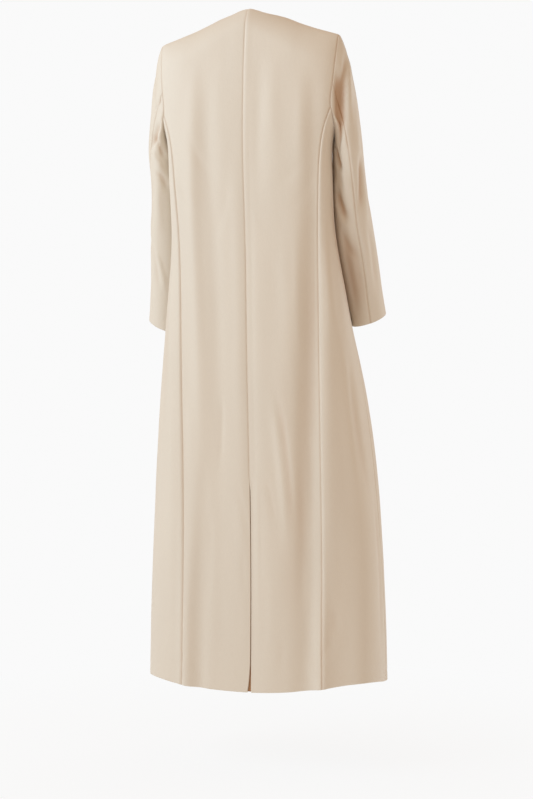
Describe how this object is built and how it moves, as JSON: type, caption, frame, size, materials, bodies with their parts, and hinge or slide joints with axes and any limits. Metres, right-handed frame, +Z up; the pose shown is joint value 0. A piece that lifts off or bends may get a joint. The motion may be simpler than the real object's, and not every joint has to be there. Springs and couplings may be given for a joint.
{
  "type": "abaya cloak",
  "caption": "Full-length collarless abaya cloak in plain cream crepe, worn: princess-seamed back with a long centre vent, set-in two-piece sleeves and a plain open front.",
  "frame": {"origin": "middle of the neck opening, 7 mm below the neck ends of the shoulder seams, where the coat hangs from the wearer's shoulders", "axes": "+Z up, from hem to neck; -Y is the way the wearer faces, so the back is at +Y; +X is the wearer's left"},
  "size_m": [0.5494, 0.3022, 1.4373],
  "materials": {
    "crepe": "soft matt crepe with a faint sheen",
    "crepe_shade": "soft matt crepe, the vent's underlay"
  },
  "bodies": {
    "root": {"back_left": "crepe", "back_right": "crepe", "side_back_left": "crepe", "side_back_right": "crepe", "front_left": "crepe", "front_right": "crepe", "sleeve_upper_left": "crepe", "sleeve_upper_right": "crepe", "sleeve_under_left": "crepe", "sleeve_under_right": "crepe", "vent_underlay": "crepe_shade"}
  },
  "joints": []
}
